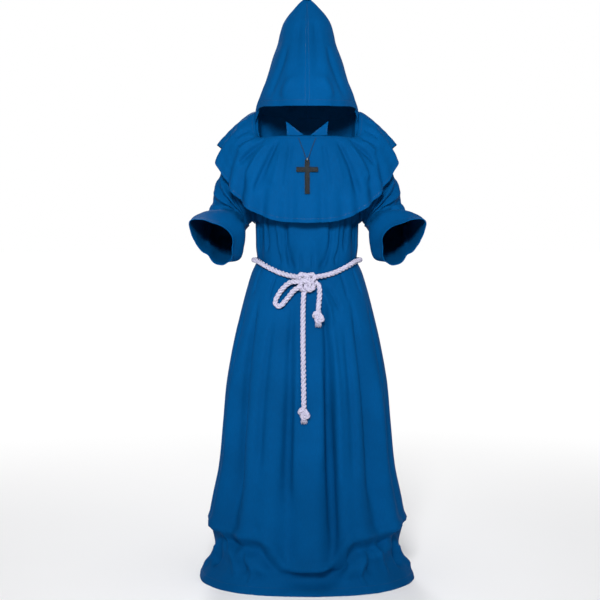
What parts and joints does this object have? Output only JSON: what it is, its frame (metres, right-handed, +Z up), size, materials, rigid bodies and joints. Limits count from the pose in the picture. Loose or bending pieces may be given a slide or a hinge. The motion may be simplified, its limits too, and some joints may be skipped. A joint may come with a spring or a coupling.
{
  "type": "monk costume",
  "caption": "Floor-length hooded robe with wide sleeves and a draped shoulder cape, worn form with no wearer, tied with a rope belt, with a cross on a cord.",
  "frame": {"origin": "the middle between the shoulders, 1.45 m above the hem, where the wearer carries the robe", "axes": "+Z up, -Y towards the front, +X to the viewer's right as seen from the front"},
  "size_m": [0.696, 0.5604, 1.84],
  "materials": {
    "blue_cloth": "woven polyester with a soft sheen",
    "rope": "twisted three-strand rope, matt",
    "dark_cord": "thin twisted cord, matt",
    "ring_metal": "bright wire",
    "cross_metal": "darkened, satin"
  },
  "bodies": {
    "garment": {"robe_front": "blue_cloth", "robe_back": "blue_cloth", "sleeve_left": "blue_cloth", "sleeve_right": "blue_cloth", "hood_left": "blue_cloth", "hood_right": "blue_cloth", "collar_flap_left": "blue_cloth", "collar_flap_right": "blue_cloth", "cape_front": "blue_cloth", "cape_back": "blue_cloth", "belt": "rope", "belt_knot": "rope", "belt_loop": "rope", "belt_end_long": "rope", "belt_tuft_long": "rope", "belt_end_short": "rope", "belt_tuft_short": "rope", "pendant_cord": "dark_cord"},
    "pendant": {"pendant_ring": "ring_metal", "cross": "cross_metal"}
  },
  "joints": [
    {"name": "cross_swing", "type": "hinge", "parent": "garment", "child": "pendant", "pos_m": [0, -0.164, -0.1311], "axis": [-1, 0, 0], "range_deg": [0, 120]}
  ]
}
